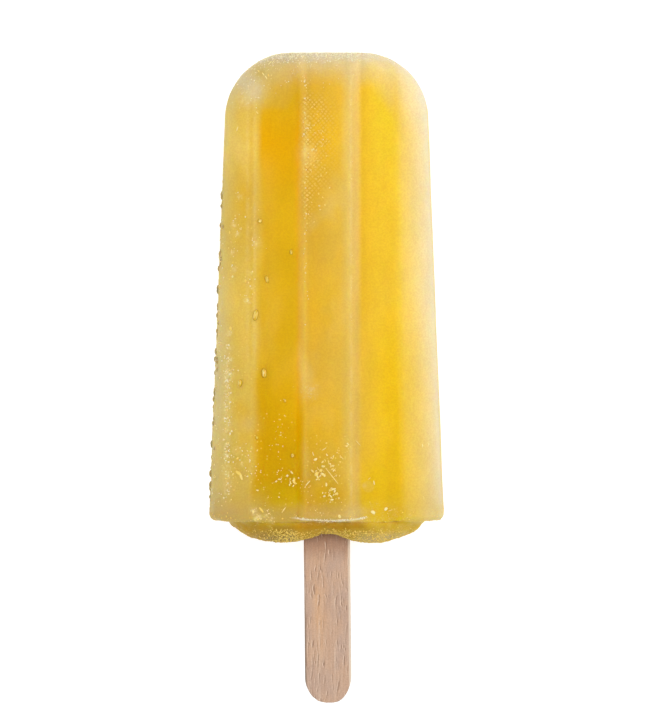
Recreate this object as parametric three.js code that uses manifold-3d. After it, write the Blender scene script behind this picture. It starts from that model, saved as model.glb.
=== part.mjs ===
// An ice lolly: a bar of frozen juice, moulded round a flat wooden stick, lying on its back.
// All sizes are in millimetres. The bar's own axes are x across its width, y from its rim towards
// its tip, and z from its back to its front, with y = 0 in the plane of the rim.
import * as THREE from "three";
import { LoftGeometry } from "three/addons/geometries/LoftGeometry.js";
import { mergeVertices } from "three/addons/utils/BufferGeometryUtils.js";
import Module from "manifold-3d";

const wasm = await Module();
wasm.setup();
const { degToRad, lerp, clamp, smoothstep } = THREE.MathUtils;

// The moulded bar. It narrows from the rim to the tip, so that it slips out of its mould.
const bar = {
  length: 101,
  rimHalfWidth: 25.4,
  rimHalfThickness: 12.8,
  widthDraft: degToRad(2.24),
  thicknessDraft: degToRad(2.0),
  cornerRadius: 14.3, // the tip's two corners, seen from the front
  noseRadius: 7.6, // the tip's edge, from front to back
  rimRadius: 1.5,
  roundness: 2.6, // exponent of the curve that rolls from each face into the side
};

// Both faces carry a flat rib in the middle and a shallow channel on each side of it.
const rib = { halfWidth: 4.6, flank: 1.7 };
const channel = {
  outerAtRim: 16.6, // from the middle line to the channel's outer edge
  outerAtTip: 15.0,
  outerFlank: 1.2,
  innerDepth: 1.4,
  outerDepth: 0.95,
};

// The juice that swelled out of the mould's mouth as it froze: two lobes, one on each side of the stick.
const swell = {
  halfWidth: 21.3,
  halfThickness: 11.3,
  depth: 4.9,
  saddleDepth: 2.7, // how far the ice between the lobes reaches down the stick
  saddleHalfWidth: 4.7,
  shoulder: 4.5, // exponents of the curve from the middle of the swelling out to its edge
  fullness: 0.91,
  lumps: 0.22,
};

const stick = {
  length: 114,
  width: 10,
  thickness: 2,
  edgeRadius: 0.3,
  endLength: 5.6,
  endFullness: 2.3, // exponent of the stick's round ends, where 2 is an ellipse
  showing: 39.5, // from the plane of the rim to the stick's free end
  lean: degToRad(0.8),
};
const stickGap = 0.3;

// Frost grains and water drops that stand on the ice, as beads with their lower half sunk in it.
const beads = {
  underRim: { count: 26, smallest: 0.45, largest: 0.8 },
  lowFace: { count: 16, smallest: 0.4, largest: 0.75 },
  edge: { count: 16, smallest: 0.4, largest: 0.7 },
  drops: { count: 6, smallest: 0.5, largest: 0.85, stretch: 1.7 },
};

// How finely the bar is faceted: pieces of a quarter of its outline, and stations along it.
const around = { ribTop: 2, ribFlank: 2, channelFloor: 4, outerFlank: 2, roll: 9 };
const along = { rimCorner: 3, wall: 8, tip: 12, swell: 12 };

// The half width and half thickness of the plain wall at a height y, before the tip is rounded off.
function wallHalfWidth(y) {
  return bar.rimHalfWidth - y * Math.tan(bar.widthDraft);
}

function wallHalfThickness(y) {
  return bar.rimHalfThickness - y * Math.tan(bar.thicknessDraft);
}

// How far an arc at the tip has pulled the outline in at a height y.
function roundedOff(y, radius) {
  const rise = clamp((y - bar.length + radius) / radius, 0, 1);
  return radius * (1 - Math.sqrt(1 - rise * rise));
}

function halfWidthAt(y) {
  const arcStart = bar.length - bar.cornerRadius;
  return wallHalfWidth(Math.min(y, arcStart)) - roundedOff(y, bar.cornerRadius);
}

function halfThicknessAt(y) {
  const arcStart = bar.length - bar.noseRadius;
  return wallHalfThickness(Math.min(y, arcStart)) - roundedOff(y, bar.noseRadius);
}

// Where the features of a face lie across it at a height y. Near the tip the outline crowds them inwards.
function featuresAt(y) {
  const width = halfWidthAt(y);
  const outer = lerp(channel.outerAtRim, channel.outerAtTip, y / bar.length);
  return {
    ribEdge: Math.min(rib.halfWidth, 0.6 * width),
    ribFoot: Math.min(rib.halfWidth + rib.flank, 0.74 * width),
    channelFoot: Math.min(outer - channel.outerFlank, 0.8 * width),
    channelEdge: Math.min(outer, 0.86 * width),
  };
}

// A channel keeps its depth below the plain wall, so it runs out where the nose curves down past its floor.
function channelDepth(x, y) {
  const f = featuresAt(y);
  const inside = smoothstep(x, f.ribEdge, f.ribFoot) * (1 - smoothstep(x, f.channelFoot, f.channelEdge));
  const share = clamp((x - f.ribFoot) / (f.channelFoot - f.ribFoot), 0, 1);
  const depth = lerp(channel.innerDepth, channel.outerDepth, share) - roundedOff(y, bar.noseRadius);
  return inside * Math.max(depth, 0);
}

// The crown of a face is a flat strip and, outside it, a quarter of a superellipse that ends at the side.
function crownPoint(angle, y) {
  const power = 2 / bar.roundness;
  const { ribEdge } = featuresAt(y);
  const x = ribEdge + (halfWidthAt(y) - ribEdge) * Math.cos(angle) ** power;
  return [x, halfThicknessAt(y) * Math.sin(angle) ** power];
}

function crownAngle(x, y) {
  const { ribEdge } = featuresAt(y);
  const share = clamp((x - ribEdge) / (halfWidthAt(y) - ribEdge), 0, 1);
  return Math.acos(share ** (bar.roundness / 2));
}

function crownHeight(x, y) {
  return crownPoint(crownAngle(x, y), y)[1];
}

// A quarter of the outline at a height y, from the middle of the front to the side, as [x, z] pairs.
function quarterAt(y, withChannels) {
  const f = featuresAt(y);
  const stretches = [
    [0, f.ribEdge, around.ribTop],
    [f.ribEdge, f.ribFoot, around.ribFlank],
    [f.ribFoot, f.channelFoot, around.channelFloor],
    [f.channelFoot, f.channelEdge, around.outerFlank],
  ];
  const points = [];
  for (const [from, to, steps] of stretches)
    for (let i = 0; i < steps; i++) {
      const x = lerp(from, to, i / steps);
      points.push([x, crownHeight(x, y) - (withChannels ? channelDepth(x, y) : 0)]);
    }
  const first = crownAngle(f.channelEdge, y);
  for (let i = 0; i <= around.roll; i++) points.push(crownPoint(lerp(first, 0, i / around.roll), y));
  return points;
}

// A whole outline from its quarter, mirrored to the back and to the other side.
function wholeOutline(quarter) {
  const right = [...quarter, ...quarter.slice(0, -1).reverse().map(([x, z]) => [x, -z])];
  const left = right.slice(1, -1).reverse().map(([x, z]) => [-x, z]);
  return [...right, ...left];
}

// The outline of the bar at a height y, drawn in by an inset and put at a height of its own.
function sectionAt(y, inset = 0, height = y) {
  const squeezeX = 1 - inset / halfWidthAt(y);
  const squeezeZ = 1 - inset / halfThicknessAt(y);
  const outline = wholeOutline(quarterAt(y, true));
  return outline.map(([x, z]) => new THREE.Vector3(x * squeezeX, height, z * squeezeZ));
}

// How far the swelling hangs below the rim, at a reach from 0 in its middle to 1 at its edge.
function swellDepth(x, z, reach) {
  const saddle = Math.exp(-((x / swell.saddleHalfWidth) ** 2));
  const depth = lerp(swell.depth, swell.saddleDepth, saddle);
  const lump = swell.lumps * Math.sin(0.83 * x + 0.9) * Math.sin(0.61 * z + 0.21 * x) * (1 - saddle);
  return (depth + lump) * (1 - reach ** swell.shoulder) ** swell.fullness;
}

// A point of the swelling, from a point of the rim and its reach. The swelling's edge is the rim's crown
// without the channels, drawn in.
function swellPoint([rimX, rimZ], reach) {
  const x = (rimX * reach * swell.halfWidth) / bar.rimHalfWidth;
  const z = (rimZ * reach * swell.halfThickness) / bar.rimHalfThickness;
  return new THREE.Vector3(x, -swellDepth(x, z, reach), z);
}

function swellRing(reach) {
  return wholeOutline(quarterAt(0, false)).map((rimPoint) => swellPoint(rimPoint, reach));
}

function barGeometry() {
  const sections = [];
  for (let i = 0; i <= along.swell; i++)
    sections.push(swellRing(Math.sin((i / along.swell) * (Math.PI / 2))));
  for (let i = 0; i < along.rimCorner; i++) {
    const angle = (i / along.rimCorner) * (Math.PI / 2);
    const inset = bar.rimRadius * (1 - Math.sin(angle));
    sections.push(sectionAt(bar.rimRadius, inset, bar.rimRadius * (1 - Math.cos(angle))));
  }
  const wallEnd = bar.length - bar.cornerRadius;
  for (let i = 0; i < along.wall; i++)
    sections.push(sectionAt(lerp(bar.rimRadius, wallEnd, i / along.wall)));
  for (let i = 0; i <= along.tip; i++)
    sections.push(sectionAt(wallEnd + bar.cornerRadius * Math.sin((i / along.tip) * (Math.PI / 2))));
  sections.push(sections[0].map(() => new THREE.Vector3(0, bar.length, 0)));
  return new LoftGeometry(sections);
}

// Repeatable random numbers from 0 to 1.
function seededRandom(seed) {
  let state = seed;
  return () => {
    state = (Math.imul(state, 1664525) + 1013904223) >>> 0;
    return state / 2 ** 32;
  };
}

function beadGeometry(radius, stretch, place) {
  const geometry = new THREE.SphereGeometry(radius, 6, 4);
  geometry.scale(1, stretch, 1);
  return geometry.translate(place.x, place.y, place.z);
}

// The beads: under the rim and on the face near it, up the left edge, and the drops by the left channel.
function beadGeometries() {
  const random = seededRandom(7);
  const between = (low, high) => lerp(low, high, random());
  const made = [];
  const scatter = ({ count, smallest, largest, stretch = 1 }, placeOf) => {
    for (let i = 0; i < count; i++) {
      const place = placeOf((i + random()) / count);
      made.push(beadGeometry(between(smallest, largest), stretch, place));
    }
  };
  const onFace = (x, y) => {
    return new THREE.Vector3(x, y, crownHeight(Math.abs(x), y) - channelDepth(Math.abs(x), y));
  };
  scatter(beads.underRim, (share) => {
    const [x, z] = crownPoint(lerp(0.6, 1.35, Math.abs(2 * share - 1)), 0);
    return swellPoint([share < 0.5 ? -x : x, z], between(0.74, 0.9));
  });
  scatter(beads.lowFace, (share) => onFace(lerp(-14, 9, share), between(3, 15)));
  scatter(beads.edge, (share) => {
    const y = lerp(4, 68, share ** 1.3);
    const [x, z] = crownPoint(between(0.05, 0.5), y);
    return new THREE.Vector3(-x, y, z);
  });
  scatter(beads.drops, (share) => onFace(between(-18.5, -12), lerp(26, 60, share)));
  return made;
}

// A flat stick with round ends, grown by a margin all round. It lies along y with its free end at y = 0.
function stickGeometry(margin, bevel) {
  const halfWidth = stick.width / 2 + margin - bevel;
  const endLength = stick.endLength + margin - bevel;
  const steps = 20;
  const half = [];
  for (let i = 0; i <= steps; i++) {
    const angle = (i / steps) * Math.PI;
    const side = Math.cos(angle);
    const across = Math.sign(side) * Math.abs(side) ** (2 / stick.endFullness);
    const out = Math.sin(angle) ** (2 / stick.endFullness);
    half.push([halfWidth * across, endLength * out]);
  }
  const top = half.map(([x, out]) => new THREE.Vector2(x, stick.length - stick.endLength + out));
  const bottom = half.map(([x, out]) => new THREE.Vector2(-x, stick.endLength - out));
  const thickness = stick.thickness + 2 * margin - 2 * bevel;
  const geometry = new THREE.ExtrudeGeometry(new THREE.Shape([...top, ...bottom]), {
    depth: thickness,
    bevelEnabled: bevel > 0,
    bevelThickness: bevel,
    bevelSize: bevel,
    bevelSegments: 2,
  });
  return geometry.translate(0, 0, -thickness / 2);
}

const stickPlace = new THREE.Matrix4()
  .makeRotationZ(stick.lean)
  .multiply(new THREE.Matrix4().makeTranslation(0, -stick.showing, 0));

// Closed three.js geometry to a manifold-3d solid. Where a loft ends in a point or a sphere has its poles,
// triangles without any area are left out.
function toSolid(geometry) {
  const plain = new THREE.BufferGeometry();
  plain.setAttribute("position", geometry.attributes.position);
  plain.setIndex(geometry.index);
  const merged = mergeVertices(plain);
  const index = merged.index.array;
  const kept = [];
  for (let i = 0; i < index.length; i += 3) {
    const [a, b, c] = index.slice(i, i + 3);
    if (a !== b && b !== c && c !== a) kept.push(a, b, c);
  }
  const vertProperties = merged.attributes.position.array;
  return new wasm.Manifold(new wasm.Mesh({ numProp: 3, vertProperties, triVerts: new Uint32Array(kept) }));
}

function toGeometry(solid) {
  const mesh = solid.getMesh();
  const geometry = new THREE.BufferGeometry();
  geometry.setAttribute("position", new THREE.Float32BufferAttribute(mesh.vertProperties, 3));
  geometry.setIndex(new THREE.Uint32BufferAttribute(mesh.triVerts, 1));
  geometry.computeVertexNormals();
  return geometry;
}

function iceMesh() {
  let solid = toSolid(barGeometry());
  for (const bead of beadGeometries()) solid = solid.add(toSolid(bead));
  const slot = stickGeometry(stickGap, 0).applyMatrix4(stickPlace);
  solid = solid.subtract(toSolid(slot));
  const frozenJuice = new THREE.MeshStandardMaterial({ color: 0xe9b52a, roughness: 0.35, metalness: 0 });
  const mesh = new THREE.Mesh(toGeometry(solid), frozenJuice);
  mesh.name = "ice";
  return mesh;
}

function stickMesh() {
  const birch = new THREE.MeshStandardMaterial({ color: 0xcba68a, roughness: 0.75, metalness: 0 });
  const mesh = new THREE.Mesh(stickGeometry(0, stick.edgeRadius), birch);
  mesh.name = "stick";
  mesh.applyMatrix4(stickPlace);
  return mesh;
}

// The lolly lies on the flat rib of its back, which leans in by the thickness draft.
const lolly = new THREE.Group();
lolly.add(iceMesh(), stickMesh());
lolly.rotation.x = -bar.thicknessDraft;

// The origin is under the middle of the whole, on the surface that it lies on.
const part = new THREE.Group();
part.add(lolly);
const extent = new THREE.Box3().setFromObject(part, true);
const middle = extent.getCenter(new THREE.Vector3());
lolly.position.set(-middle.x, -middle.y, -extent.min.z);

export default part;
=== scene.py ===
from math import cos, pi, radians, sin, tan

import bpy
import numpy as np
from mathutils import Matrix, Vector


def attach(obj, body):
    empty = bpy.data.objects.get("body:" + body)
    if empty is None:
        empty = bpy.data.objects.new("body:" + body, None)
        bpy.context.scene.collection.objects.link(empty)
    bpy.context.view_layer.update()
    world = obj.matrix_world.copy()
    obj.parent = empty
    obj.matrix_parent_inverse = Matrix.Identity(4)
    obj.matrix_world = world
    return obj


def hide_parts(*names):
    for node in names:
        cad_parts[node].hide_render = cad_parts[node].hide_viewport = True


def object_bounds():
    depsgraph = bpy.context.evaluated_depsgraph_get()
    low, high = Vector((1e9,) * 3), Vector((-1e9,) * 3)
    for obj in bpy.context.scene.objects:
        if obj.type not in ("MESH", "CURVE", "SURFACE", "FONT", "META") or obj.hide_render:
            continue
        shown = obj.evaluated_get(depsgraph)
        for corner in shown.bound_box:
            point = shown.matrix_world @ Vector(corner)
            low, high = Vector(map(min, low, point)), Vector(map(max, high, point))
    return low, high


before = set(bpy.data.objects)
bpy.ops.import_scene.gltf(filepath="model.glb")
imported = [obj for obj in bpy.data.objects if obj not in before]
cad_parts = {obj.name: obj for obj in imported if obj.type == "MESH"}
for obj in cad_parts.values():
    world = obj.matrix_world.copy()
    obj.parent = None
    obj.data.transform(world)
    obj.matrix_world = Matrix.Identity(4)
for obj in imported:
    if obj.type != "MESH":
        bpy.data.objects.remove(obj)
cadLow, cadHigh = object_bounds()
print("frame loaded:", sorted(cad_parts))

mm = 0.001

# the moulded bar, in millimetres, in its own axes: x across, y from the rim to the tip, z to the front
bar = {
    "length": 101.0,
    "rimHalfWidth": 25.4,
    "rimHalfThickness": 12.8,
    "widthDraft": radians(2.24),
    "thicknessDraft": radians(2.0),
    "cornerRadius": 14.3,
    "noseRadius": 7.6,
    "rimRadius": 1.5,
    "roundness": 2.6,
    "ribHalfWidth": 4.6,
    "ribFlank": 1.7,
    "channelAtRim": 16.6,
    "channelAtTip": 15.0,
    "channelFlank": 1.2,
    "innerDepth": 1.4,
    "outerDepth": 0.95,
}
swell = {
    "halfWidth": 21.3,
    "halfThickness": 11.3,
    "depth": 4.9,
    "saddleDepth": 2.7,
    "saddleHalfWidth": 4.7,
    "shoulder": 4.5,
    "fullness": 0.91,
}
stick = {
    "length": 114.0,
    "width": 10.0,
    "thickness": 2.0,
    "edgeRadius": 0.35,
    "endLength": 5.6,
    "endFullness": 2.3,
    "showing": 39.5,
    "lean": radians(0.55),
}


# ---- placing ----
def frameOffset():
    # the rib's crest on the back lies on the floor and gives the middle line, the tip gives the length
    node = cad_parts["ice"]
    points = np.zeros(len(node.data.vertices) * 3)
    node.data.vertices.foreach_get("co", points)
    points = points.reshape(-1, 3) / mm
    crest = points[points[:, 2] < 0.02]
    tilt = bar["thicknessDraft"]
    noseStart = bar["length"] - bar["noseRadius"]
    tipHalfThickness = bar["rimHalfThickness"] - noseStart * tan(tilt) - bar["noseRadius"]
    tipY = bar["length"] * cos(tilt) + tipHalfThickness * sin(tilt)
    return np.array([
        (crest[:, 0].min() + crest[:, 0].max()) / 2,
        points[:, 1].max() - tipY,
        bar["rimHalfThickness"] * cos(tilt),
    ])


offset = frameOffset()


def toFrame(local):
    # turns the bar's own millimetres by its draft about x, shifts them, and gives metres in the frame
    tilt = bar["thicknessDraft"]
    x, y, z = np.moveaxis(np.asarray(local, float), -1, 0)
    turned = np.stack([x, y * cos(tilt) + z * sin(tilt), z * cos(tilt) - y * sin(tilt)], -1)
    return (turned + offset) * mm


def insideBox(points):
    # keeps frame points within the box of the CAD solids
    return np.clip(points, np.array(cadLow) + 1e-6, np.array(cadHigh) - 1e-6)


# ---- numbers ----
def smooth(value, low, high):
    # 0 at low, 1 at high, and 3t^2 - 2t^3 between them
    t = np.clip((value - low) / (high - low), 0, 1)
    return t * t * (3 - 2 * t)


def between(value, start, full, fade, end):
    # rises from 0 at start to 1 at full, and falls from 1 at fade to 0 at end
    return smooth(value, start, full) * (1 - smooth(value, fade, end))


def bell(value, middle, width):
    # e to the power of minus the squared distance from the middle, measured in widths
    return np.exp(-(((value - middle) / width) ** 2))


def spots(x, y, rows):
    # the sum of soft spots; a row is x, y, a radius or a width and a height, and a strength
    total = 0
    for centreX, centreY, size, strength in rows:
        width, height = np.broadcast_to(size, 2)
        total = total + strength * bell(x, centreX, width) * bell(y, centreY, height)
    return total


def stripes(x, y, rows):
    # the sum of soft stripes; a row is x, a width, where it begins and ends along y, and a strength
    total = 0
    for middle, width, begins, ends, strength in rows:
        total = total + strength * bell(x, middle, width) * between(y, *begins, *ends)
    return total


def cellNumber(cell, seed):
    # one repeatable random number from -1 to 1 for each whole-number cell, by mixing its three indices
    x, y, z = (cell[..., i].astype(np.uint32) for i in range(3))
    mixed = x * np.uint32(374761393) + y * np.uint32(668265263) + z * np.uint32(2147483647)
    mixed = (mixed + np.uint32(seed * 97)) * np.uint32(1274126177)
    mixed = (mixed ^ (mixed >> np.uint32(13))) * np.uint32(1103515245)
    mixed = mixed ^ (mixed >> np.uint32(16))
    return mixed.astype(float) / 2147483647.5 - 1


def softNoise(points, size, seed):
    # value noise: random numbers at the corners of cells of this size, eased and blended between them
    scaled = np.asarray(points) / size + 500
    cell = np.floor(scaled).astype(np.int64)
    t = scaled - cell
    t = t * t * (3 - 2 * t)
    total = 0
    for corner in np.ndindex(2, 2, 2):
        weight = np.prod(np.where(np.array(corner) == 1, t, 1 - t), -1)
        total = total + weight * cellNumber(cell + np.array(corner), seed)
    return total


# ---- meshes ----
def newPiece(name, points, faceSets, material, values=None, flat=False):
    # a mesh object from arrays of vertices in metres, of faces and of numbers per vertex
    mesh = bpy.data.meshes.new(name)
    corners = np.concatenate([faces.ravel() for faces in faceSets])
    sizes = np.concatenate([np.full(len(faces), faces.shape[1]) for faces in faceSets])
    mesh.vertices.add(len(points))
    mesh.vertices.foreach_set("co", np.asarray(points, np.float32).ravel())
    mesh.loops.add(len(corners))
    mesh.loops.foreach_set("vertex_index", corners.astype(np.int32))
    mesh.polygons.add(len(sizes))
    starts = np.concatenate([[0], np.cumsum(sizes)[:-1]])
    mesh.polygons.foreach_set("loop_start", starts.astype(np.int32))
    for key, numbers in (values or {}).items():
        mesh.attributes.new(key, "FLOAT", "POINT").data.foreach_set("value", numbers.ravel())
    mesh.update(calc_edges=True)
    mesh.validate()
    if flat:
        mesh.shade_flat()
    else:
        mesh.shade_smooth()
    mesh.materials.append(material)
    piece = bpy.data.objects.new(name, mesh)
    bpy.context.scene.collection.objects.link(piece)
    return piece


def ringFaces(rows, columns):
    # quads between neighbouring rings that close on themselves
    row, column = np.meshgrid(np.arange(rows - 1), np.arange(columns), indexing="ij")
    after = (column + 1) % columns
    quads = [row * columns + column, row * columns + after]
    quads += [(row + 1) * columns + after, (row + 1) * columns + column]
    return np.stack(quads, -1).reshape(-1, 4)


def poleFaces(rows, columns):
    # triangles from each end ring to the two points after the grid that close it
    column = np.arange(columns)
    after = (column + 1) % columns
    last = (rows - 1) * columns
    first = np.stack([after, column, np.full(columns, rows * columns)], -1)
    end = np.stack([last + column, last + after, np.full(columns, rows * columns + 1)], -1)
    return np.concatenate([first, end])


def closedGrid(points, ends, values):
    # the vertices, faces and numbers of a grid of rings that a point at each end closes
    whole = np.concatenate([points.reshape(-1, 3), ends])
    flat = {key: np.concatenate([v.ravel(), [v[0].mean(), v[-1].mean()]]) for key, v in values.items()}
    return whole, [ringFaces(*points.shape[:2]), poleFaces(*points.shape[:2])], flat


def gridNormals(points):
    # the cross product of the two directions along a grid that closes on itself across
    along = np.gradient(points, axis=0)
    across = np.roll(points, -1, 1) - np.roll(points, 1, 1)
    normal = np.cross(across, along)
    return normal / np.maximum(np.linalg.norm(normal, axis=-1, keepdims=True), 1e-9)


# ---- nodes ----
def plug(tree, made, inputs):
    # links each input that is given a socket, and sets the others
    for key, value in inputs.items():
        if isinstance(value, bpy.types.NodeSocket):
            tree.links.new(value, made.inputs[key])
        else:
            made.inputs[key].default_value = value
    return made


def addNode(tree, kind, inputs=None, **settings):
    made = tree.nodes.new("ShaderNode" + kind)
    for key, value in settings.items():
        setattr(made, key, value)
    return plug(tree, made, inputs or {})


def calc(tree, operation, a, b=0.0, clamp=False):
    return addNode(tree, "Math", {0: a, 1: b}, operation=operation, use_clamp=clamp).outputs[0]


def times(tree, a, b):
    return calc(tree, "MULTIPLY", a, b)


def ramp(tree, value, low, high, toLow=0.0, toHigh=1.0):
    inputs = {"Value": value, "From Min": low, "From Max": high, "To Min": toLow, "To Max": toHigh}
    return addNode(tree, "MapRange", inputs, interpolation_type="SMOOTHSTEP").outputs[0]


def line(tree, value, centre, halfWidth, strength):
    # full strength where the value is the centre, falling to 0 a half width away
    away = calc(tree, "ABSOLUTE", calc(tree, "SUBTRACT", value, centre))
    return ramp(tree, away, 0.0, halfWidth, strength, 0.0)


def blend(tree, factor, a, b, how="MIX"):
    inputs = {0: factor, 6: a, 7: b}
    return addNode(tree, "Mix", inputs, data_type="RGBA", blend_type=how).outputs[2]


def noise(tree, vector, scale, detail=2.0, roughness=0.5):
    inputs = {"Vector": vector, "Scale": scale, "Detail": detail, "Roughness": roughness}
    return addNode(tree, "TexNoise", inputs).outputs["Fac"]


def stretched(tree, vector, scale):
    return addNode(tree, "Mapping", {"Vector": vector, "Scale": scale}).outputs[0]


def attribute(tree, name):
    return addNode(tree, "Attribute", attribute_name=name).outputs["Fac"]


def rgb(red, green, blue):
    # a colour from 0 to 255 as the linear numbers that a shader takes
    def linear(c):
        c = c / 255
        return c / 12.92 if c <= 0.04045 else ((c + 0.055) / 1.055) ** 2.4
    return (linear(red), linear(green), linear(blue), 1.0)


def newMaterial(name):
    material = bpy.data.materials.new(name)
    material.use_nodes = True
    tree = material.node_tree
    tree.nodes.clear()
    shader = addNode(tree, "BsdfPrincipled")
    addNode(tree, "OutputMaterial", {"Surface": shader.outputs[0]})
    return material, tree, shader


def newGroup(name, inputs, outputs):
    # an empty shader group with named sockets; an input is a name, a socket kind and a starting value
    group = bpy.data.node_groups.new(name, "ShaderNodeTree")
    for key, kind, value in inputs:
        socket = group.interface.new_socket(key, in_out="INPUT", socket_type="NodeSocket" + kind)
        if value is not None:
            socket.default_value = value
    for key, kind in outputs:
        group.interface.new_socket(key, in_out="OUTPUT", socket_type="NodeSocket" + kind)
    return group, group.nodes.new("NodeGroupInput").outputs, group.nodes.new("NodeGroupOutput").inputs


def useGroup(tree, group, inputs):
    made = tree.nodes.new("ShaderNodeGroup")
    made.node_tree = group
    return plug(tree, made, inputs).outputs


def frostGroup():
    # a haze as thick as the amount, and grain where drifts and grain rise above what the amount leaves bare
    inputs = [("Vector", "Vector", None), ("Amount", "Float", 0.5)]
    inputs += [("Drift", "Float", 420.0), ("Grain", "Float", 3200.0)]
    group, given, gives = newGroup("frost", inputs, [("Cover", "Float"), ("Height", "Float")])
    drift = ramp(group, noise(group, given["Vector"], given["Drift"], 3.0, 0.6), 0.28, 0.72)
    grain = ramp(group, noise(group, given["Vector"], given["Grain"], 2.0, 0.6), 0.3, 0.7)
    mixed = calc(group, "ADD", times(group, drift, 0.4), times(group, grain, 0.6))
    bare = calc(group, "SUBTRACT", 1.0, given["Amount"])
    low, high = calc(group, "SUBTRACT", bare, 0.3), calc(group, "ADD", bare, 0.4)
    grains = times(group, ramp(group, mixed, low, high), ramp(group, given["Amount"], 0.0, 0.08, 0.0, 0.6))
    haze = times(group, given["Amount"], ramp(group, drift, 0.0, 1.0, 0.35, 0.75))
    cover = calc(group, "ADD", times(group, haze, 0.8), grains, clamp=True)
    group.links.new(cover, gives["Cover"])
    group.links.new(times(group, grains, grain), gives["Height"])
    return group


def speckGroup():
    # a dot around the middle of some cells, as many as the amount asks for
    inputs = [("Vector", "Vector", None), ("Amount", "Float", 0.5), ("Scale", "Float", 1500.0)]
    group, given, gives = newGroup("specks", inputs, [("Cover", "Float")])
    cells = addNode(group, "TexVoronoi", {"Vector": given["Vector"], "Scale": given["Scale"]})
    dot = ramp(group, cells.outputs["Distance"], 0.1, 0.36, 1.0, 0.0)
    drawn = addNode(group, "SeparateColor", {0: cells.outputs["Color"]}).outputs[0]
    kept = ramp(group, calc(group, "SUBTRACT", given["Amount"], drawn), 0.0, 0.25)
    group.links.new(times(group, dot, kept), gives["Cover"])
    return group


frost = frostGroup()
specks = speckGroup()


# ---- the bar's form ----
def pulledIn(y, radius):
    # how far an arc at the tip has pulled the outline in at a height y
    rise = np.clip((y - bar["length"] + radius) / radius, 0, 1)
    return radius * (1 - np.sqrt(1 - rise * rise))


def halfWidth(y):
    # the leaning side wall, then the arc of the tip's corner
    wall = np.minimum(y, bar["length"] - bar["cornerRadius"])
    return bar["rimHalfWidth"] - wall * tan(bar["widthDraft"]) - pulledIn(y, bar["cornerRadius"])


def halfThickness(y):
    # the leaning face, then the arc of the nose
    wall = np.minimum(y, bar["length"] - bar["noseRadius"])
    return bar["rimHalfThickness"] - wall * tan(bar["thicknessDraft"]) - pulledIn(y, bar["noseRadius"])


def features(y):
    # where the rib and the channel begin and end across a face; near the tip the outline crowds them
    width = halfWidth(y)
    outer = bar["channelAtRim"] + (bar["channelAtTip"] - bar["channelAtRim"]) * y / bar["length"]
    return (
        np.minimum(bar["ribHalfWidth"], 0.6 * width),
        np.minimum(bar["ribHalfWidth"] + bar["ribFlank"], 0.74 * width),
        np.minimum(outer - bar["channelFlank"], 0.8 * width),
        np.minimum(outer, 0.86 * width),
    )


def channelShape(x, y):
    # eased up from the rib and down again at the outer edge, 1 on the channel's floor
    return between(x, *features(y))


def channelDepth(x, y):
    # the depth falls from the rib outwards, and runs out where the nose curves down past the floor
    ribEdge, ribFoot, floorEnd, channelEdge = features(y)
    share = np.clip((x - ribFoot) / (floorEnd - ribFoot), 0, 1)
    depth = bar["innerDepth"] + (bar["outerDepth"] - bar["innerDepth"]) * share
    depth = depth - pulledIn(y, bar["noseRadius"])
    melted = 1 - smooth(x, floorEnd - 2.4, channelEdge + 0.5)
    fading = 1 - 0.6 * smooth(y, 80, 97)
    return smooth(x, ribEdge - 0.2, ribFoot + 0.3) * melted * fading * np.maximum(depth, 0)


def crown(angle, y):
    # a superellipse from the rib's edge to the side: powers of the angle's cosine and sine
    power = 2 / bar["roundness"]
    ribEdge = features(y)[0]
    x = ribEdge + (halfWidth(y) - ribEdge) * np.cos(angle) ** power
    return x, halfThickness(y) * np.sin(angle) ** power


def crownAngle(x, y):
    # the angle at which the crown is a distance x from the middle
    ribEdge = features(y)[0]
    share = np.clip((x - ribEdge) / (halfWidth(y) - ribEdge), 0, 1)
    return np.arccos(share ** (bar["roundness"] / 2))


barGrid = {
    "ribTop": 13,
    "ribFlank": 9,
    "channelFloor": 20,
    "outerFlank": 7,
    "roll": 34,
    "swellRows": 46,
    "rimRows": 8,
    "wallRows": 184,
    "tipRows": 46,
}


def quarterOutline(y, withChannels):
    # x and z along a quarter of each outline: steps across the rib and channel, then angles round the side
    ribEdge, ribFoot, floorEnd, channelEdge = features(y)
    stretches = [
        (0 * y, ribEdge, barGrid["ribTop"]),
        (ribEdge, ribFoot, barGrid["ribFlank"]),
        (ribFoot, floorEnd, barGrid["channelFloor"]),
        (floorEnd, channelEdge, barGrid["outerFlank"]),
    ]
    x = np.concatenate([a + (b - a) * np.arange(n) / n for a, b, n in stretches], 1)
    z = crown(crownAngle(x, y), y)[1]
    if withChannels:
        z = z - channelDepth(x, y)
    share = np.linspace(1, 0, barGrid["roll"] + 1)
    rollX, rollZ = crown(crownAngle(channelEdge, y) * share, y)
    return np.concatenate([x, rollX], 1), np.concatenate([z, rollZ], 1)


def wholeOutline(x, z):
    # the quarter mirrored to the back and then to the other side
    x = np.concatenate([x, x[:, -2::-1]], 1)
    z = np.concatenate([z, -z[:, -2::-1]], 1)
    return np.concatenate([x, -x[:, -2:0:-1]], 1), np.concatenate([z, z[:, -2:0:-1]], 1)


def swellDepth(x, reach):
    # two lobes with a saddle at the stick, rolling off towards the edge by powers of the reach
    saddle = bell(x, 0, swell["saddleHalfWidth"])
    depth = swell["depth"] + (swell["saddleDepth"] - swell["depth"]) * saddle
    return depth * (1 - reach ** swell["shoulder"]) ** swell["fullness"]


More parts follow.
